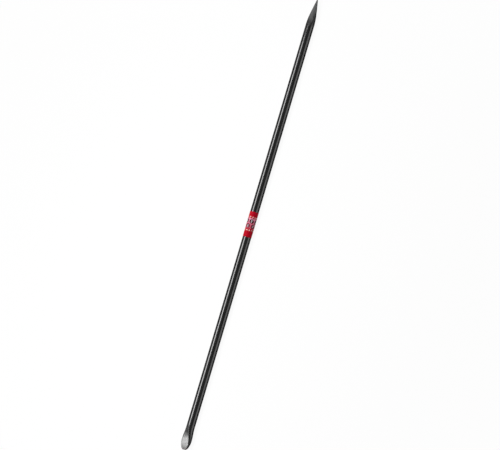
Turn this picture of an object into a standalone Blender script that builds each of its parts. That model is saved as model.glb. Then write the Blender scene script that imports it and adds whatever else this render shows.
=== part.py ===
"""A straight crowbar: one round steel bar, forged to a flat chisel at one end and to a four-sided point
at the other, with a printed label wrapped round its middle.

The bar lies along X with its point towards +X. The chisel's two ground faces look up and down, and the
lowest thing, the label, touches Z = 0. The origin is under the middle of the bar's length."""

import math

import bmesh
import bpy
from mathutils import Matrix, Vector

# The bar
BAR_LENGTH = 1.300
BAR_DIAMETER = 0.024
BAR_SIDES = 48
SHANK_RINGS = 12

# The chisel: distances are from its cutting edge
BLADE_WIDTH = 0.031
BLADE_WIDEST_AT = 0.029
FLARE_LENGTH = 0.036
GROUND_LENGTH = 0.063
EDGE_THICKNESS = 0.003
EDGE_WIDTH = 0.005
FLARE_RINGS = 9
TONGUE_RINGS = 10

# The point
POINT_LENGTH = 0.071
TIP_WIDTH = 0.003
POINT_TURN = math.radians(30)
POINT_FACES = 4

# The label, whose middle is a little nearer the point than the bar's middle is
LABEL_LENGTH = 0.072
LABEL_SHIFT = 0.001
LABEL_FILM = 0.0002
LABEL_CLEARANCE = 0.00025
LABEL_LAP = 0.005
LAP_RISE = 0.004
LAP_CLEARANCE = 0.0001
LAP_TURN = math.radians(-90)

RADIUS = BAR_DIAMETER / 2
LABEL_RADIUS = RADIUS + LABEL_CLEARANCE + LABEL_FILM
CHISEL_END = -BAR_LENGTH / 2
POINT_END = BAR_LENGTH / 2
SIDE_ANGLE = math.tau / BAR_SIDES
AXIS_HEIGHT = LABEL_RADIUS * math.cos(SIDE_ANGLE / 2)
SMOOTH_UNDER = math.radians(20)


def clear_scene():
    for thing in list(bpy.data.objects):
        bpy.data.objects.remove(thing)


def finish(name, colour, roughness, metallic):
    material = bpy.data.materials.new(name)
    material.use_nodes = True
    shader = material.node_tree.nodes["Principled BSDF"]
    shader.inputs["Base Color"].default_value = (*colour, 1)
    shader.inputs["Roughness"].default_value = roughness
    shader.inputs["Metallic"].default_value = metallic
    return material


def make_object(name, shape, material):
    """A named object from a bmesh whose axis is X, lifted to the height at which the bar lies."""
    bmesh.ops.recalc_face_normals(shape, faces=shape.faces)
    bmesh.ops.translate(shape, verts=shape.verts, vec=(0, 0, AXIS_HEIGHT))
    mesh = bpy.data.meshes.new(name)
    shape.to_mesh(mesh)
    shape.free()
    mesh.shade_smooth()
    mesh.set_sharp_from_angle(angle=SMOOTH_UNDER)
    mesh.materials.append(material)
    thing = bpy.data.objects.new(name, mesh)
    bpy.context.collection.objects.link(thing)
    return thing


def smooth_step(share):
    return share * share * (3 - 2 * share)


def half_width(from_edge):
    """Half the bar's width across the blade, before the faces are ground, at a distance from the edge."""
    blade = BLADE_WIDTH / 2
    if from_edge < BLADE_WIDEST_AT:
        corner = blade - EDGE_WIDTH / 2
        share = 1 - from_edge / BLADE_WIDEST_AT
        return EDGE_WIDTH / 2 + corner * math.sqrt(1 - share * share)
    share = min((from_edge - BLADE_WIDEST_AT) / FLARE_LENGTH, 1)
    return blade + (RADIUS - blade) * smooth_step(share)


def ring_places():
    """Distances from the chisel's edge at which the bar's outline has a ring."""
    tongue = [BLADE_WIDEST_AT * (1 - math.cos(math.pi / 2 * n / TONGUE_RINGS)) for n in range(TONGUE_RINGS)]
    flare = [BLADE_WIDEST_AT + FLARE_LENGTH * n / FLARE_RINGS for n in range(FLARE_RINGS)]
    shank_start = BLADE_WIDEST_AT + FLARE_LENGTH
    shank = [shank_start + (BAR_LENGTH - shank_start) * n / SHANK_RINGS for n in range(SHANK_RINGS + 1)]
    return tongue + flare + shank


def round_bar():
    """The round bar with its spread end, before the chisel's faces and the point's are cut."""
    shape = bmesh.new()
    rings = []
    for from_edge in ring_places():
        made = bmesh.ops.create_circle(shape, segments=BAR_SIDES, radius=RADIUS)["verts"]
        # A circle is made across Z: this lays it across X, with a flat side down
        bmesh.ops.rotate(shape, verts=made, matrix=Matrix.Rotation(SIDE_ANGLE / 2, 3, "Z"))
        bmesh.ops.rotate(shape, verts=made, matrix=Matrix.Rotation(math.pi / 2, 3, "Y"))
        bmesh.ops.scale(shape, verts=made, vec=(1, half_width(from_edge) / RADIUS, 1))
        bmesh.ops.translate(shape, verts=made, vec=(CHISEL_END + from_edge, 0, 0))
        rings.append(made)
    for ring, following in zip(rings, rings[1:]):
        for n in range(BAR_SIDES):
            after = (n + 1) % BAR_SIDES
            shape.faces.new((ring[n], following[n], following[after], ring[after]))
    shape.faces.new(rings[0])
    shape.faces.new(rings[-1])
    return shape


def cut_away(shape, point, outward):
    """Removes what lies beyond a plane and closes the cut with one flat face."""
    everything = [*shape.verts, *shape.edges, *shape.faces]
    cut = bmesh.ops.bisect_plane(
        shape, geom=everything, dist=1e-7, plane_co=point, plane_no=outward, clear_outer=True
    )
    rim = [part for part in cut["geom_cut"] if isinstance(part, bmesh.types.BMEdge)]
    bmesh.ops.contextual_create(shape, geom=rim)


def cut_chisel(shape):
    slope = math.atan2(RADIUS - EDGE_THICKNESS / 2, GROUND_LENGTH)
    for up in (1, -1):
        outward = Vector((-math.sin(slope), 0, up * math.cos(slope)))
        cut_away(shape, (CHISEL_END, 0, up * EDGE_THICKNESS / 2), outward)


def cut_point(shape):
    slope = math.atan2(RADIUS - TIP_WIDTH / 2, POINT_LENGTH)
    for n in range(POINT_FACES):
        turned = Matrix.Rotation(POINT_TURN + n * math.tau / POINT_FACES, 3, "X")
        outward = turned @ Vector((math.sin(slope), 0, math.cos(slope)))
        cut_away(shape, turned @ Vector((POINT_END, 0, TIP_WIDTH / 2)), outward)


def forged_bar():
    shape = round_bar()
    cut_chisel(shape)
    cut_point(shape)
    return make_object("forged_bar", shape, finish("black_lacquered_steel", (0.022, 0.022, 0.023), 0.35, 0.0))


def label_sleeve():
    """A strip of film wrapped a little over one turn, so that its last part lies over its first."""
    lap_angle = LABEL_LAP / LABEL_RADIUS
    rise_angle = LAP_RISE / LABEL_RADIUS
    lap_steps = math.ceil(lap_angle / SIDE_ANGLE)
    wound = [SIDE_ANGLE * n for n in range(BAR_SIDES + 1)]
    wound += [math.tau + lap_angle * (n + 1) / lap_steps for n in range(lap_steps)]
    first_turn = (round(LAP_TURN / SIDE_ANGLE) + 0.5) * SIDE_ANGLE
    shape = bmesh.new()
    inner = []
    for angle in wound:
        risen = smooth_step(min(max((angle - math.tau) / rise_angle + 1, 0), 1))
        off_axis = RADIUS + LABEL_CLEARANCE + risen * (LABEL_FILM + LAP_CLEARANCE)
        turned = Matrix.Rotation(first_turn - angle, 3, "X")
        inner.append(shape.verts.new(turned @ Vector((LABEL_SHIFT - LABEL_LENGTH / 2, 0, off_axis))))
    run = [shape.edges.new(pair) for pair in zip(inner, inner[1:])]
    grown = bmesh.ops.extrude_edge_only(shape, edges=run)["geom"]
    for vert in (part for part in grown if isinstance(part, bmesh.types.BMVert)):
        outward = Vector((0, vert.co.y, vert.co.z)).normalized()
        vert.co += outward * LABEL_FILM
    strip = bmesh.ops.extrude_face_region(shape, geom=list(shape.faces))["geom"]
    far = [part for part in strip if isinstance(part, bmesh.types.BMVert)]
    bmesh.ops.translate(shape, verts=far, vec=(LABEL_LENGTH, 0, 0))
    return make_object("label_sleeve", shape, finish("red_label_film", (0.48, 0.001, 0.014), 0.45, 0.0))


clear_scene()
forged_bar()
label_sleeve()
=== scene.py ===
"""The looks of a straight crowbar: the forged bar with its lacquer and its ground chisel, the printed
label, and the studio that the bar lies in."""

import math

import bmesh
import bpy
from mathutils import Matrix, Vector, noise


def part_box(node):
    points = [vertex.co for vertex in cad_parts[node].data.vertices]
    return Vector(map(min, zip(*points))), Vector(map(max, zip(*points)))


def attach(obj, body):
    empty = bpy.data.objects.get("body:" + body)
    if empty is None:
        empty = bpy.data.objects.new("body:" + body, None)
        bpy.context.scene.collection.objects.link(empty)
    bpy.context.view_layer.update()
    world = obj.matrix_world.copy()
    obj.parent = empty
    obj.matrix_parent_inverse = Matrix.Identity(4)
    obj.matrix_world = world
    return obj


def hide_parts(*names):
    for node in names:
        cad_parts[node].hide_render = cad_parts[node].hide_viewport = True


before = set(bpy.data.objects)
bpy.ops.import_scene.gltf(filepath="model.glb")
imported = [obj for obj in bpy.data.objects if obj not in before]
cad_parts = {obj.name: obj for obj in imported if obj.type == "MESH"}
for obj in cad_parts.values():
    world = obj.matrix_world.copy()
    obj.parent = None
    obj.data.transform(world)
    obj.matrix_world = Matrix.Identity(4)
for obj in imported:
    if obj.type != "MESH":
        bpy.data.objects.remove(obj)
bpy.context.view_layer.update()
bar_low, bar_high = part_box("forged_bar")
label_low, label_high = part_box("label_sleeve")

# The bar's sizes, in metres. The chisel's distances are from its cutting edge, the point's from its tip
RADIUS = 0.012
AXIS_HEIGHT = (bar_low.z + bar_high.z) / 2
CHISEL_END = bar_low.x
POINT_END = bar_high.x
BAR_LENGTH = POINT_END - CHISEL_END
BLADE_HALF_WIDTH = bar_high.y
BLADE_WIDEST_AT = 0.029
FLARE_LENGTH = 0.036
GROUND_LENGTH = 0.076
GROUND_CURVE = 1.62
GROUND_MARGIN = (0.0012, 0.0026)
MARGIN_WIDENS_AT = 0.016
MARGIN_WIDENS_OVER = 0.014
EDGE_HALF_THICKNESS = 0.0015
EDGE_HALF_WIDTH = 0.0025
EDGE_ROUNDING = 0.0007
POINT_LENGTH = 0.073
POINT_CURVE = 1.12
POINT_TURN = math.radians(30)
CROWN_HEIGHT = 0.0004
TIP_HALF_WIDTH = 0.0015
TIP_ROUNDING = 0.0012
RUN_OUT_RISE = 0.2

# Corners. The point's own corners reach further out than its flats, but never past the round bar
CORNER_REACH = 1.37
REACH_ROUNDING = 0.0002
GROUND_CORNER = 0.00012
POINT_CORNER = 0.00026
ROUNDEST_AT_TIP = 0.06
LEAST_STEEPNESS_SQUARED = 0.003
WEAR_SPREAD = 9

# The surface's unevenness. Lumps are counted to a metre, along the bar and across it
FORGED_DEPTH = 0.00010
ROLLED_DEPTH = 0.00002
FORGED_FROM_EDGE = 0.16
FORGED_FROM_TIP = 0.14
FORGED_FADE_AT_EDGE = 0.08
FORGED_FADE_AT_TIP = 0.06
BROAD_LUMPS = (30, 45)
CLOSE_LUMPS = (90, 130)
CLOSE_SHIFT = 7
GROUND_SMOOTHNESS = 0.7

# How finely the bar is modelled. Lines of the mesh crowd towards the corners that they follow, and the
# split is the share of them that lies on a flat
SIDES = 160
TONGUE_RINGS = 40
TIP_RINGS = 6
FINE_STEP = 0.0008
MIDDLE_STEP = 0.004
SHANK_STEP = 0.010
EASING_LENGTH = 0.030
CHISEL_SPLIT = 0.5
POINT_SPLIT = 0.7
NARROWEST_FLAT = math.radians(8)
NARROWEST_CORNER = math.radians(1.5)
CROWDING = 1.5
SHORTEST_EDGE = 0.000004
SMOOTH_UNDER = math.radians(40)

# The camera stands 50 degrees above the floor, and the bar leans in its picture
CAMERA_ELEVATION = math.radians(50)
CAMERA_TURN = math.pi / 2 - CAMERA_ELEVATION
CAMERA_DISTANCE = 3.0
CAMERA_CLIP = (0.1, 50)
PICTURE_LEAN = math.radians(16.55)
PICTURE_SIZE = (500, 450)
BAR_MIDDLE_PIXEL = (250.68, 224.84)
BAR_LENGTH_PIXELS = 469.1


def round_bar_direction(turn):
    """The direction at this turn from the camera's, round the bar. The camera's right is positive."""
    angle = CAMERA_TURN + turn
    return Vector((0, -math.sin(angle), math.cos(angle)))


def make_camera():
    """A parallel view, because the bar is as thick at both ends of the photograph."""
    camera = bpy.data.cameras.new("camera")
    camera.type = "ORTHO"
    metres_per_pixel = BAR_LENGTH / BAR_LENGTH_PIXELS
    camera.ortho_scale = PICTURE_SIZE[0] * metres_per_pixel
    camera.clip_start, camera.clip_end = CAMERA_CLIP
    back = round_bar_direction(0)
    along_bar = Vector((1, 0, 0))
    across_bar = along_bar.cross(back)
    up = along_bar * math.cos(PICTURE_LEAN) - across_bar * math.sin(PICTURE_LEAN)
    right = up.cross(back)
    shift_right = (BAR_MIDDLE_PIXEL[0] - PICTURE_SIZE[0] / 2) * metres_per_pixel
    shift_up = (PICTURE_SIZE[1] / 2 - BAR_MIDDLE_PIXEL[1]) * metres_per_pixel
    middle = Vector(((POINT_END + CHISEL_END) / 2, 0, AXIS_HEIGHT))
    place = Matrix((right, up, back)).transposed().to_4x4()
    place.translation = middle - right * shift_right - up * shift_up + back * CAMERA_DISTANCE
    thing = bpy.data.objects.new("camera", camera)
    bpy.context.scene.collection.objects.link(thing)
    thing.matrix_world = place
    bpy.context.scene.camera = thing


def smooth_step(share):
    share = min(max(share, 0.0), 1.0)
    return share * share * (3 - 2 * share)


def soft_least(a, b, rounding):
    """The lesser of two values, with a rounded corner where they cross."""
    low, high = min(a, b), max(a, b)
    return low - rounding * math.log1p(math.exp(-(high - low) / rounding))


def soft_limit(value, limit, rounding):
    """A value held within plus and minus the limit, with a rounded corner where the limit begins."""
    return math.copysign(soft_least(abs(value), limit, rounding), value)


class Wire:
    """A shader socket. Sums and products of wires add the Math nodes that they need."""

    def __init__(self, tree, socket):
        self.tree = tree
        self.socket = socket

    def maths(self, operation, *others):
        made = self.tree.nodes.new("ShaderNodeMath")
        made.operation = operation
        for place, value in enumerate((self, *others)):
            plug(self.tree, made.inputs[place], value)
        return Wire(self.tree, made.outputs[0])

    def __add__(self, other):
        return self.maths("ADD", other)

    __radd__ = __add__

    def __mul__(self, other):
        return self.maths("MULTIPLY", other)

    __rmul__ = __mul__

    def __sub__(self, other):
        return self.maths("SUBTRACT", other)

    def __rsub__(self, other):
        return self * -1 + other

    def __pow__(self, other):
        return self.maths("POWER", other)

    def __abs__(self):
        return self.maths("ABSOLUTE")

    def least(self, other):
        return self.maths("MINIMUM", other)

    def most(self, other):
        return self.maths("MAXIMUM", other)

    def wrapped(self, pitch):
        """How far a place is from the middle of its repeat."""
        return self.maths("WRAP", pitch / 2, -pitch / 2)


def plug(tree, socket, value):
    if isinstance(value, Wire):
        tree.links.new(value.socket, socket)
    else:
        socket.default_value = value


class Finish:
    """A material or a world that is being wired."""

    def __init__(self, owner):
        owner.use_nodes = True
        self.owner = owner
        self.tree = owner.node_tree
        self.tree.nodes.clear()

    def node(self, kind, settings=None, inputs=None, output=0):
        """Adds a node: its settings first, then the values or wires of its sockets. Gives an output."""
        made = self.tree.nodes.new(kind)
        for name, value in (settings or {}).items():
            setattr(made, name, value)
        for name, value in (inputs or {}).items():
            plug(self.tree, made.inputs[name], value)
        return Wire(self.tree, made.outputs[output])

    def part(self, vector, axis):
        """The X, Y or Z of a vector."""
        return self.node("ShaderNodeSeparateXYZ", inputs={"Vector": vector}, output=axis)

    def place(self):
        return self.node("ShaderNodeTexCoord", output="Object")

    def attribute(self, name):
        return self.node("ShaderNodeAttribute", {"attribute_name": name}, output="Fac")

    def stretched(self, where, scale):
        return self.node("ShaderNodeMapping", inputs={"Vector": where, "Scale": scale})

    def grain(self, where, size, detail=2.0, roughness=0.5):
        """Soft noise from 0 to 1 whose lumps are about this size, in metres."""
        inputs = {"Vector": where, "Scale": 1 / size, "Detail": detail, "Roughness": roughness}
        return self.node("ShaderNodeTexNoise", inputs=inputs, output="Fac")

    def ramp(self, value, start, end, low=0.0, high=1.0):
        """A smooth step of a wire from low to high between two of its values."""
        inputs = {"Value": value, "From Min": start, "From Max": end, "To Min": low, "To Max": high}
        return self.node("ShaderNodeMapRange", {"interpolation_type": "SMOOTHSTEP"}, inputs)

    def blend(self, share, low, high):
        """Two colours mixed. The Mix node's sockets for colours come after its other ones."""
        mix = {"data_type": "RGBA"}
        return self.node("ShaderNodeMix", mix, {0: share, 6: low, 7: high}, output=2)

    def bump(self, height, distance):
        return self.node("ShaderNodeBump", inputs={"Height": height, "Distance": distance})

    def surface(self, shader):
        is_world = isinstance(self.owner, bpy.types.World)
        kind = "ShaderNodeOutputWorld" if is_world else "ShaderNodeOutputMaterial"
        plug(self.tree, self.tree.nodes.new(kind).inputs["Surface"], shader)


def colour(red, green, blue):
    return (red, green, blue, 1.0)


def grey(level):
    return colour(level, level, level)


# Finishes

STEEL_DARK = colour(0.42, 0.42, 0.425)
STEEL_PALE = colour(0.62, 0.62, 0.615)
STEEL_AT_EDGE = colour(0.25, 0.247, 0.24)
LACQUER_DARK = grey(0.008)
LACQUER_PALE = grey(0.015)
FINE_LINE_GREY = grey(0.035)
THIN_LACQUER_AND_SHEEN_GREY = grey(0.095)
RUBBED_CORNER_GREY = grey(0.10)
LACQUER_IOR = 1.52
COAT_ROUGHNESS = 0.08
STEEL_BUMP = 0.00006

# Where a finish begins and where it is full, from the cutting edge or from the tip
LACQUER_ON_CHISEL = (0.028, 0.051)
RAGGED_LENGTH = 0.014
DARKER_STEEL = (0.019, 0.0005)
SCALE_ON_CHISEL = (0.048, 0.028)
SCALE_ON_POINT = (0.080, 0.064)
POINT_SCALE_SHARE = 0.9
CLEAN_FLATS = (0.068, 0.050)
THIN_AND_SHEEN_ON_FLATS = (0.060, 0.028)

# The levels of their grain between which rubbed places show
RUBBED_CORNERS = (0.56, 0.68)
RUBBED_LINES = (0.62, 0.74)


def lacquered_steel():
    """Black lacquer over forged steel, ground away on the chisel's faces and thinned on the point's, with
    a painted sheen.
    """
    material = bpy.data.materials.new("lacquered_steel")
    f = Finish(material)
    where = f.place()
    x = f.part(where, "X")
    ground, flat, corner = f.attribute("ground"), f.attribute("flat"), f.attribute("corner")
    from_edge, from_tip = x - CHISEL_END, POINT_END - x

    # The lacquer ends on each ground face along a ragged line, and beyond it the steel is bare
    ragged = f.grain(f.stretched(where, (1, 0.5, 1)), 0.006, detail=4) - 0.5
    bare = ground * (1 - f.ramp(from_edge + ragged * RAGGED_LENGTH, *LACQUER_ON_CHISEL))
    rubbed = corner * f.ramp(f.grain(where, 0.0035, detail=3), *RUBBED_CORNERS)

    # The wheel's lines run across the blade, and the steel is darker along the cutting edge
    wheel = f.grain(f.stretched(where, (1, 0.05, 1)), 0.0006, detail=3, roughness=0.6)
    broad_lines = f.grain(f.stretched(where, (1, 0.08, 1)), 0.0045, detail=2)
    mottle = f.grain(where, 0.005, detail=4)
    steel = f.blend(mottle * 0.6 + broad_lines * 0.4, STEEL_DARK, STEEL_PALE)
    steel = f.blend(f.ramp(from_edge, *DARKER_STEEL), steel, STEEL_AT_EDGE)

    # The lacquer shows the rolled bar's long streaks, a faint orange peel, and fine rubbed lines
    streaks = f.grain(f.stretched(where, (0.02, 1, 1)), 0.0022, detail=4, roughness=0.6)
    patches = f.grain(f.stretched(where, (0.25, 1, 1)), 0.010, detail=4, roughness=0.6)
    peel = f.grain(where, 0.0015, detail=2)
    line_grain = f.grain(f.stretched(where, (0.06, 1, 1)), 0.0007, detail=2)
    fine_lines = f.ramp(line_grain, *RUBBED_LINES)
    file_marks = f.grain(f.stretched(where, (1, 0.15, 0.15)), 0.0012, detail=3, roughness=0.6)

    # Thinned on the point's flats, with a painted sheen near the tip; dull with scale where the ends were
    # heated
    thin_and_sheen = flat * f.ramp(from_tip, *THIN_AND_SHEEN_ON_FLATS)
    point_scale = f.ramp(from_tip, *SCALE_ON_POINT, 0, POINT_SCALE_SHARE)
    point_scale = point_scale * (1 - flat * f.ramp(from_tip, *CLEAN_FLATS))
    scale = f.ramp(from_edge, *SCALE_ON_CHISEL).most(point_scale)
    tone = f.blend(patches, LACQUER_DARK, LACQUER_PALE)
    tone = f.blend(fine_lines * 0.35, tone, FINE_LINE_GREY)
    # Painted sheen: the point's flats turn a lighter grey towards the tip
    tone = f.blend(thin_and_sheen * (0.65 + file_marks * 0.5), tone, THIN_LACQUER_AND_SHEEN_GREY)
    tone = f.blend(rubbed * 0.3, tone, RUBBED_CORNER_GREY)

    dull = 0.18 + patches * 0.08 + streaks * 0.06 + fine_lines * 0.10 + thin_and_sheen * 0.18 + scale * 0.30
    rough_steel = 0.36 + wheel * 0.14
    lacquer_height = peel * 0.25 + patches * 0.6 + streaks * 0.25 + thin_and_sheen * file_marks * 0.4
    steel_height = wheel + broad_lines
    shader = f.node(
        "ShaderNodeBsdfPrincipled",
        inputs={
            "Base Color": f.blend(bare, tone, steel),
            "Metallic": bare,
            "Roughness": dull + bare * (rough_steel - dull),
            "IOR": LACQUER_IOR,
            "Coat Weight": (1 - bare) * (1 - thin_and_sheen * 0.7) * (1 - scale),
            "Coat Roughness": COAT_ROUGHNESS,
            "Coat IOR": LACQUER_IOR,
            "Normal": f.bump(lacquer_height * (1 - bare) + steel_height * bare, STEEL_BUMP),
        },
    )
    f.surface(shader)
    return material


# The label's print, in metres. Along the bar, its places count from the label's middle to the point
SPOT_COUNT = 34
SPOT_ROW = 0.0023
SPOT_RADIUS = (0.0006, 0.0011)
SPOT_BAND = (-5.5 * SPOT_ROW, 7.5 * SPOT_ROW)
HEXAGONS = 5
HEXAGON_HALF = (0.0060, 0.0066)
HEXAGON_SLANT = 0.577
HEXAGON_ROWS = ((0.0, 0.0088), (0.5, -0.0047))
HEXAGON_REDDENS = (0.012, -0.008)
RUNGS = 3
RUNG_HALF = (0.0018, 0.0008)
RUNG_PITCH = 0.0025
DIAMONDS = 11
DIAMOND_REACH = 0.0024
DIAMOND_ROWS = (0.0205, -0.0165)
INK_EDGE = 0.00015
FILM_RED = colour(0.53, 0.001, 0.015)
FILM_PINK = colour(0.95, 0.42, 0.58)
FILM_WHITE = colour(0.90, 0.58, 0.54)
HEXAGON_DARK = colour(0.035, 0.004, 0.010)
HEXAGON_RED = colour(0.17, 0.004, 0.030)
RUNG_GREY = grey(0.75)
HANDLED_RED = colour(0.22, 0.010, 0.020)
FILM_IOR = 1.45
FILM_SPECULAR_LEVEL = 0.08
FILM_BUMP = 0.0003


def printed_film(girth):
    """Red film. Two rows of dark hexagons lie on a band of pink spots, between rows of diamonds."""
    material = bpy.data.materials.new("printed_film")
    f = Finish(material)
    flat_place = f.node("ShaderNodeUVMap", {"uv_map": "print"})
    round_bar, along = f.part(flat_place, "X"), f.part(flat_place, "Y")

    def inked(distance):
        return f.ramp(distance, INK_EDGE, -INK_EDGE)

    def distance_from(across, up):
        return (across * across + up * up) ** 0.5

    def rounded_box(across, up, half, corner):
        past_side = (abs(across) - (half[0] - corner)).most(0)
        past_end = (abs(up) - (half[1] - corner)).most(0)
        return distance_from(past_side, past_end) - corner

    def inside(band):
        return inked(abs(along - sum(band) / 2) - (band[1] - band[0]) / 2)

    def diamonds(middle):
        across = round_bar.wrapped(girth / DIAMONDS)
        return inked(abs(across) + abs(along - middle) - DIAMOND_REACH)

    def spots(shift):
        """Every other row of small spots, which shrink towards the chisel."""
        pitch = girth / SPOT_COUNT
        across = (round_bar + shift * pitch).wrapped(pitch)
        up = (along + shift * 2 * SPOT_ROW).wrapped(2 * SPOT_ROW)
        radius = f.ramp(along, *SPOT_BAND, *SPOT_RADIUS)
        return inked(distance_from(across, up) - radius)

    def hexagon(across, up):
        slanted = abs(up) + abs(across) * HEXAGON_SLANT - HEXAGON_HALF[1]
        return inked(slanted.most(abs(across) - HEXAGON_HALF[0]))

    def ladder(across, up):
        """Pale rungs in the middle of a hexagon."""
        rung = rounded_box(across, up.wrapped(RUNG_PITCH), RUNG_HALF, RUNG_HALF[1])
        return inked(rung.most(abs(up) - RUNGS * RUNG_PITCH / 2))

    hexagon_ink = f.blend(f.ramp(along, *HEXAGON_REDDENS), HEXAGON_DARK, HEXAGON_RED)
    ink = f.blend(inside(SPOT_BAND) * spots(0).most(spots(0.5)), FILM_RED, FILM_PINK)
    for shift, middle in HEXAGON_ROWS:
        across = (round_bar + shift * girth / HEXAGONS).wrapped(girth / HEXAGONS)
        ink = f.blend(hexagon(across, along - middle), ink, hexagon_ink)
        ink = f.blend(ladder(across, along - middle), ink, RUNG_GREY)
    ink = f.blend(diamonds(DIAMOND_ROWS[0]).most(diamonds(DIAMOND_ROWS[1])), ink, FILM_WHITE)

    where = f.place()
    slack = f.grain(f.stretched(where, (0.4, 1, 1)), 0.010, detail=2)
    fibre = f.grain(where, 0.0008, detail=2)
    handled = f.grain(where, 0.012, detail=3)
    shader = f.node(
        "ShaderNodeBsdfPrincipled",
        inputs={
            "Base Color": f.blend(fibre * 0.10 + handled * 0.08, ink, HANDLED_RED),
            "Roughness": 0.42 + fibre * 0.12 + handled * 0.08,
            "IOR": FILM_IOR,
            "Specular IOR Level": FILM_SPECULAR_LEVEL,
            "Normal": f.bump(slack + fibre * 0.04, FILM_BUMP),
        },
    )
    f.surface(shader)
    return material


# The bar


def half_width(from_edge):
    """Half the bar's width across the blade."""
    if from_edge < BLADE_WIDEST_AT:
        share = 1 - from_edge / BLADE_WIDEST_AT
        swell = math.sqrt(max(1 - share * share, 0))
        return EDGE_HALF_WIDTH + (BLADE_HALF_WIDTH - EDGE_HALF_WIDTH) * swell
    share = (from_edge - BLADE_WIDEST_AT) / FLARE_LENGTH
    return BLADE_HALF_WIDTH + (RADIUS - BLADE_HALF_WIDTH) * smooth_step(share)


def cut_height(from_end, end_height, length, curve):
    """How far a worked face is from the bar's axis. It runs out on the round bar in a curve."""
    share = max(1 - from_end / length, 0) ** curve
    beyond = max(from_end - length, 0) * RUN_OUT_RISE
    return RADIUS - (RADIUS - end_height) * share + beyond


def steepness_at(limit):
    """How steeply the round bar meets a face: 1 at the axis, and nearly 0 where the face runs out."""
    return math.sqrt(max(1 - (limit / RADIUS) ** 2, LEAST_STEEPNESS_SQUARED))


def corner_wear(beyond, limit):
    """How worn a place is: 1 on a corner, and less away from it and where the face runs out."""
    return math.exp(-beyond * beyond / WEAR_SPREAD) * steepness_at(limit)


def drawn_in(from_end, rounding):
    """How far the last stretch of an end draws in towards the end's own middle."""
    share = max(1 - from_end / rounding, 0)
    return rounding * (1 - math.sqrt(1 - share * share))


def evenly(start, end, step):
    """Places from start up to, but not at, the end."""
    count = round((end - start) / step)
    return [start + (end - start) * n / count for n in range(count)]


def ring_places():
    """Places of the bar's rings, from the cutting edge to the tip, closest together at the two ends."""
    quarter = math.pi / 2
    point_start, tip_start = BAR_LENGTH - POINT_LENGTH, BAR_LENGTH - TIP_ROUNDING
    eased_chisel, eased_point = GROUND_LENGTH + EASING_LENGTH, point_start - EASING_LENGTH
    tongue = [1 - math.cos(quarter * n / TONGUE_RINGS) for n in range(TONGUE_RINGS)]
    tip = [1 - math.sin(quarter * n / TIP_RINGS) for n in range(TIP_RINGS + 1)]
    places = [BLADE_WIDEST_AT * share for share in tongue]
    places += evenly(BLADE_WIDEST_AT, GROUND_LENGTH, FINE_STEP)
    places += evenly(GROUND_LENGTH, eased_chisel, MIDDLE_STEP)
    places += evenly(eased_chisel, eased_point, SHANK_STEP)
    places += evenly(eased_point, point_start, MIDDLE_STEP)
    places += evenly(point_start, tip_start, FINE_STEP)
    places += [BAR_LENGTH - TIP_ROUNDING * share for share in tip]
    return places


def line_turn(turn, period, split, limit, past_start):
    """Where a line of the mesh runs round the bar, so that the lines at the split follow a flat's corners.

    The period is the angle between the middles of two flats, and past_start is how far along one is."""
    near = smooth_step(1 + past_start / EASING_LENGTH)
    half = period / 2
    widest = half - NARROWEST_CORNER
    corner = min(max(math.acos(min(limit / RADIUS, 1)), NARROWEST_FLAT), widest)
    corner = half * split * (1 - near) + corner * near
    power = 1 + (CROWDING - 1) * near
    middle = round(turn / period) * period
    share = abs(turn - middle) / half
    if share < split:
        moved = corner * (1 - (1 - share / split) ** power)
    else:
        moved = corner + (half - corner) * ((share - split) / (1 - split)) ** power
    return middle + math.copysign(moved, turn - middle)


def chisel_section(turn, from_edge):
    """A place of the section near the chisel: across, up, how much of it is ground, and how worn."""
    limit = cut_height(from_edge, EDGE_HALF_THICKNESS, GROUND_LENGTH, GROUND_CURVE)
    angle = line_turn(turn, math.pi, CHISEL_SPLIT, limit, GROUND_LENGTH - from_edge)
    draw = drawn_in(from_edge, EDGE_ROUNDING)
    across = (half_width(from_edge) - draw) * math.sin(angle)
    up = RADIUS * math.cos(angle)
    rounding = GROUND_CORNER * steepness_at(limit)
    beyond = (abs(up) - limit) / rounding
    face_edge = half_width(from_edge) * steepness_at(limit)
    widened = smooth_step((from_edge - MARGIN_WIDENS_AT) / MARGIN_WIDENS_OVER)
    margin = GROUND_MARGIN[0] + (GROUND_MARGIN[1] - GROUND_MARGIN[0]) * widened
    ground = smooth_step((face_edge - abs(across)) / margin) if beyond > 0 else 0
    return across, soft_limit(up, limit - draw, rounding), ground, corner_wear(beyond, limit)


def point_section(turn, from_tip, twist):
    """The same for the point, whose flats are turned by the twist and crowned a little."""
    limit = cut_height(from_tip, TIP_HALF_WIDTH, POINT_LENGTH, POINT_CURVE)
    limit -= drawn_in(from_tip, TIP_ROUNDING)
    angle = line_turn(turn, math.pi / 2, POINT_SPLIT, limit, POINT_LENGTH - from_tip)
    reach = soft_least(RADIUS, CORNER_REACH * limit, REACH_ROUNDING)
    first, second = reach * math.sin(angle), reach * math.cos(angle)
    beyond = (max(abs(first), abs(second)) - limit) / POINT_CORNER
    rounding = min(POINT_CORNER * steepness_at(limit), limit * ROUNDEST_AT_TIP)
    crown = CROWN_HEIGHT * math.sin(math.pi * min(from_tip / POINT_LENGTH, 1)) ** 2
    first_limit = limit + crown * (1 - min(abs(second) / limit, 1) ** 2)
    second_limit = limit + crown * (1 - min(abs(first) / limit, 1) ** 2)
    first = soft_limit(first, first_limit, rounding)
    second = soft_limit(second, second_limit, rounding)
    across = first * math.cos(twist) - second * math.sin(twist)
    up = second * math.cos(twist) + first * math.sin(twist)
    return across, up, smooth_step(beyond), corner_wear(beyond, limit)


def lumps(place, per_metre, shift=0):
    """Soft noise from -1 to 1."""
    along, across = per_metre
    return noise.noise(Vector((place.x * along + shift, place.y * across, place.z * across)))


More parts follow.
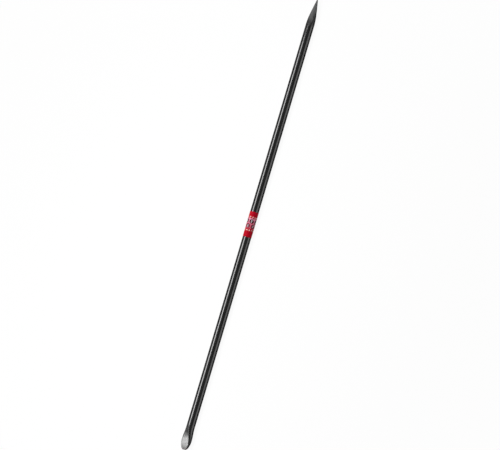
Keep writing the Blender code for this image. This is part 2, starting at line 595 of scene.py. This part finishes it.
def hollowed(place, from_edge, from_tip):
    """The slight unevenness, always inwards: the hammer's near both ends, the roller's between."""
    forged = max(
        smooth_step((FORGED_FROM_EDGE - from_edge) / FORGED_FADE_AT_EDGE),
        smooth_step((FORGED_FROM_TIP - from_tip) / FORGED_FADE_AT_TIP),
    )
    broad, close = lumps(place, BROAD_LUMPS), lumps(place, CLOSE_LUMPS, CLOSE_SHIFT)
    broad_depth = ROLLED_DEPTH + FORGED_DEPTH * forged
    return broad_depth * (broad - 1) / 2 + ROLLED_DEPTH * forged * (close - 1) / 2


def make_bar():
    """The bar as a tube of rings that are drawn to the chisel's and the point's sections."""
    shape = bmesh.new()
    ground_layer, flat_layer, corner_layer = (
        shape.verts.layers.float.new(name) for name in ("ground", "flat", "corner")
    )
    # A circle is made across Z: this lays it across X
    ring_verts = bmesh.ops.create_circle(shape, segments=SIDES, radius=RADIUS)["verts"]
    bmesh.ops.rotate(shape, verts=ring_verts, matrix=Matrix.Rotation(math.pi / 2, 3, "Y"))
    ring = list(shape.edges)
    bmesh.ops.contextual_create(shape, geom=ring)
    places = ring_places()
    for near, far in zip(places, places[1:]):
        grown = bmesh.ops.extrude_edge_only(shape, edges=ring)["geom"]
        ring = [part for part in grown if isinstance(part, bmesh.types.BMEdge) and part.is_boundary]
        step = {vert for edge in ring for vert in edge.verts}
        bmesh.ops.translate(shape, verts=list(step), vec=(far - near, 0, 0))
    bmesh.ops.contextual_create(shape, geom=ring)
    for vert in shape.verts:
        turn = math.atan2(vert.co.y, vert.co.z)
        from_edge, from_tip = max(vert.co.x, 0), max(BAR_LENGTH - vert.co.x, 0)
        if from_edge < BAR_LENGTH / 2:
            section = chisel_section(turn, from_edge)
            across, up, vert[ground_layer], vert[corner_layer] = section
        else:
            twist = POINT_TURN * smooth_step(2 * from_edge / BAR_LENGTH - 1)
            section = point_section(turn, from_tip, twist)
            across, up, vert[flat_layer], vert[corner_layer] = section
        off_axis = Vector((0, across, up))
        uneven = 1 - GROUND_SMOOTHNESS * max(vert[ground_layer], vert[flat_layer])
        off_axis += off_axis.normalized() * hollowed(vert.co, from_edge, from_tip) * uneven
        vert.co = Vector((
            min(CHISEL_END + from_edge, POINT_END), off_axis.y, AXIS_HEIGHT + off_axis.z
        ))
    finished_piece("bar", shape, lacquered_steel(), "forged_bar")


# The label

FILM_THICKNESS = 0.00020
FILM_OFF_BAR = 0.00020
FILM_CLEARANCE = 0.00004
LAP = 0.005
LAP_RISE = 0.0045
LAP_TURN = math.radians(-90)
LABEL_SIDES = 144
LABEL_ROWS = 40


def make_label():
    """The film, wound from its lap line once round the bar and over its own start."""
    shape = bmesh.new()
    print_layer = shape.loops.layers.uv.new("print")
    outer = RADIUS + FILM_OFF_BAR + FILM_THICKNESS
    length, middle = label_high.x - label_low.x, (label_low.x + label_high.x) / 2
    girth = math.tau * outer
    turns = 1 + LAP / girth
    # The flat strip is a grid of size 1 about the origin, whose X is to run along the bar
    around = round(LABEL_SIDES * turns)
    bmesh.ops.create_grid(shape, x_segments=LABEL_ROWS, y_segments=around, size=0.5)
    wound_at = {}
    for vert in shape.verts:
        wound = (vert.co.y + 0.5) * turns
        wound_at[vert] = wound
        lapped = smooth_step((wound - 1) * girth / LAP_RISE + 1)
        off_axis = outer + lapped * (FILM_THICKNESS + FILM_CLEARANCE)
        turned = LAP_TURN - math.tau * wound
        across, up = -off_axis * math.sin(turned), off_axis * math.cos(turned)
        vert.co = Vector((middle + vert.co.x * length, across, AXIS_HEIGHT + up))
    facing = (LAP_TURN - CAMERA_TURN) / math.tau % 1
    for face in shape.faces:
        for loop in face.loops:
            round_bar = (facing - wound_at[loop.vert]) * girth
            loop[print_layer].uv = (round_bar, loop.vert.co.x - middle)
    bmesh.ops.recalc_face_normals(shape, faces=shape.faces)
    axis = Vector((middle, 0, AXIS_HEIGHT))
    outward = sum(face.normal.dot(face.calc_center_median() - axis) for face in shape.faces)
    if outward < 0:
        bmesh.ops.reverse_faces(shape, faces=shape.faces)
    bmesh.ops.solidify(shape, geom=list(shape.faces), thickness=FILM_THICKNESS)
    finished_piece("label", shape, printed_film(girth), "label_sleeve")


def finished_piece(name, shape, material, node):
    """Makes an object of a closed bmesh, which rides on the bar's body and stands for a CAD node."""
    bmesh.ops.dissolve_degenerate(shape, edges=shape.edges, dist=SHORTEST_EDGE)
    bmesh.ops.recalc_face_normals(shape, faces=shape.faces)
    if shape.calc_volume(signed=True) < 0:
        bmesh.ops.reverse_faces(shape, faces=shape.faces)
    mesh = bpy.data.meshes.new(name)
    shape.to_mesh(mesh)
    shape.free()
    mesh.shade_smooth()
    mesh.set_sharp_from_angle(angle=SMOOTH_UNDER)
    mesh.materials.append(material)
    piece = bpy.data.objects.new(name, mesh)
    bpy.context.scene.collection.objects.link(piece)
    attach(piece, "root")
    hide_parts(node)


# The studio. A fade runs between two places in metres, or on the horizon between two directions
FLOOR_SIZE = 14.0
FLOOR_COLOUR = grey(0.93)
FLOOR_BOUNCE = grey(0.70)
FLOOR_WHITE_SHARE = 0.94
FLOOR_FADE = (0.6, 1.8)
SHADE_REACH = 0.4
SHADE_DEPTH = 15
SHADE_SAMPLES = 8
REFLECTED_FLOOR = 1.45
BACK_FLOOR = 0.15
BACK_FADE = (0, 0.04)
BEYOND_ENDS = 0.06
ENDS_FADE = (1.0, 0.66)
HORIZON_GLOW = (0.22, 0.09)
HORIZON_BACK = 0.12
HORIZON_BACK_FADE = (-0.3, 0.3)
HORIZON_ENDS_FADE = (0.85, 0.55)
STUDIO_DARK = 0.07
WHITE = grey(1)


def make_floor():
    """A pale matt floor. Reflections see it glow white, with a painted shadow close to what stands on it.
    """
    shape = bmesh.new()
    bmesh.ops.create_grid(shape, x_segments=1, y_segments=1, size=FLOOR_SIZE / 2)
    mesh = bpy.data.meshes.new("floor")
    shape.to_mesh(mesh)
    shape.free()
    material = bpy.data.materials.new("pale_floor")
    f = Finish(material)
    where = f.place()
    x, y = f.part(where, "X"), f.part(where, "Y")
    camera = f.node("ShaderNodeLightPath", output="Is Camera Ray")
    glossy = f.node("ShaderNodeLightPath", output="Is Glossy Ray")
    through = f.node("ShaderNodeLightPath", output="Is Transmission Ray")

    # The floor that the bar reflects has painted shade: dark beyond its ends and at its back
    open_sky = f.node(
        "ShaderNodeAmbientOcclusion", {"samples": SHADE_SAMPLES}, {"Distance": SHADE_REACH}, output="AO"
    )
    beside = f.ramp(abs(x), *ENDS_FADE, BEYOND_ENDS, 1)
    in_front = f.ramp(y, *BACK_FADE, REFLECTED_FLOOR, BACK_FLOOR)
    reflected = open_sky ** SHADE_DEPTH * beside * in_front

    # Far from the bar the camera sees the floor as white as the world, so that its edges don't show
    tone = f.blend(camera, FLOOR_BOUNCE, FLOOR_COLOUR)
    matt = f.node("ShaderNodeBsdfDiffuse", inputs={"Color": tone})
    strength = reflected + camera * (1 - reflected)
    white = f.node("ShaderNodeEmission", inputs={"Color": WHITE, "Strength": strength})
    whiteness = f.ramp((x * x + y * y) ** 0.5, *FLOOR_FADE, FLOOR_WHITE_SHARE, 1)
    share = (camera * whiteness + glossy + through).least(1)
    f.surface(f.node("ShaderNodeMixShader", inputs={0: share, 1: matt, 2: white}))
    mesh.materials.append(material)
    floor = bpy.data.objects.new("floor", mesh)
    bpy.context.scene.collection.objects.link(floor)


def make_world():
    """White to the camera. Everything else sees a pale band along the horizon, under a dark ceiling."""
    world = bpy.data.worlds.new("studio")
    bpy.context.scene.world = world
    f = Finish(world)
    direction = f.node("ShaderNodeTexCoord", output="Generated")
    x, y, z = (f.part(direction, axis) for axis in "XYZ")
    camera = f.node("ShaderNodeLightPath", output="Is Camera Ray")
    in_front = f.ramp(y, *HORIZON_BACK_FADE, 1, HORIZON_BACK)
    wall = f.ramp(z, *HORIZON_GLOW) * (in_front - STUDIO_DARK) * f.ramp(abs(x), *HORIZON_ENDS_FADE)
    strength = camera.most(wall + STUDIO_DARK)
    f.surface(f.node("ShaderNodeBackground", inputs={"Color": WHITE, "Strength": strength}))


def softbox(name, aim, direction, distance, size, radiance):
    """A flat, evenly lit lamp in a direction from its aim. Its first size runs along X."""
    lamp = bpy.data.lights.new(name, "AREA")
    lamp.shape = "RECTANGLE"
    lamp.size, lamp.size_y = size
    lamp.energy = radiance * math.pi * size[0] * size[1]
    back = direction.normalized()
    along = Vector((1, 0, 0))
    along = (along - back * along.dot(back)).normalized()
    place = Matrix((along, back.cross(along), back)).transposed().to_4x4()
    place.translation = aim + back * distance
    thing = bpy.data.objects.new(name, lamp)
    bpy.context.scene.collection.objects.link(thing)
    thing.matrix_world = place
    thing.visible_camera = False


def mirrored_view(normal):
    """The direction that a flat face with this normal shows to the camera."""
    to_camera = round_bar_direction(0)
    return 2 * normal.dot(to_camera) * normal - to_camera


KEY_TURN = math.radians(-57)
KEY_DISTANCE = 1.6
KEY_ENDS = (-1.0, 0.54)
KEY_WIDTH = 0.62
KEY_RADIANCE = 6.8
SIDE_DIRECTION = Vector((0.82, 0.15, 0.56))
SIDE_DISTANCE = 2.7
SIDE_SIZE = (2.0, 2.0)
SIDE_RADIANCE = 1.8
END_DISTANCE = 1.5
CHISEL_LAMP_SIZE = (0.6, 0.6)
CHISEL_RADIANCE = 0.42
POINT_LAMP_SIZE = (0.75, 0.75)
POINT_LAMP_TURN = math.radians(13)
POINT_RADIANCE = 1.45


def make_lamps():
    """A long strip nearly overhead, a soft lamp beyond each end, and a lamp for each end's faces."""
    bar_middle = Vector((0, 0, AXIS_HEIGHT))
    strip_middle = Vector(((KEY_ENDS[0] + KEY_ENDS[1]) / 2, 0, AXIS_HEIGHT))
    strip_size = (KEY_ENDS[1] - KEY_ENDS[0], KEY_WIDTH)
    overhead = round_bar_direction(KEY_TURN)
    softbox("key_softbox", strip_middle, overhead, KEY_DISTANCE, strip_size, KEY_RADIANCE)
    for name, side in (("point_side", 1), ("chisel_side", -1)):
        direction = Vector((side * SIDE_DIRECTION.x, SIDE_DIRECTION.y, SIDE_DIRECTION.z))
        softbox(name + "_softbox", bar_middle, direction, SIDE_DISTANCE, SIDE_SIZE, SIDE_RADIANCE)
    slope = math.atan2(RADIUS - EDGE_HALF_THICKNESS, GROUND_LENGTH)
    blade = Vector((CHISEL_END + GROUND_LENGTH / 3, 0, AXIS_HEIGHT))
    shown = mirrored_view(Vector((-math.sin(slope), 0, math.cos(slope))))
    softbox("chisel_softbox", blade, shown, END_DISTANCE, CHISEL_LAMP_SIZE, CHISEL_RADIANCE)
    slope = math.atan2(RADIUS - TIP_HALF_WIDTH, POINT_LENGTH)
    tip = Vector((POINT_END - POINT_LENGTH / 3, 0, AXIS_HEIGHT))
    flat_normal = Matrix.Rotation(POINT_TURN, 3, "X") @ Vector((math.sin(slope), 0, math.cos(slope)))
    shown = Matrix.Rotation(-POINT_LAMP_TURN, 3, "X") @ mirrored_view(flat_normal)
    softbox("point_softbox", tip, shown, END_DISTANCE, POINT_LAMP_SIZE, POINT_RADIANCE)


bpy.context.scene.view_settings.view_transform = "Standard"
make_camera()
make_bar()
make_label()
make_floor()
make_world()
make_lamps()
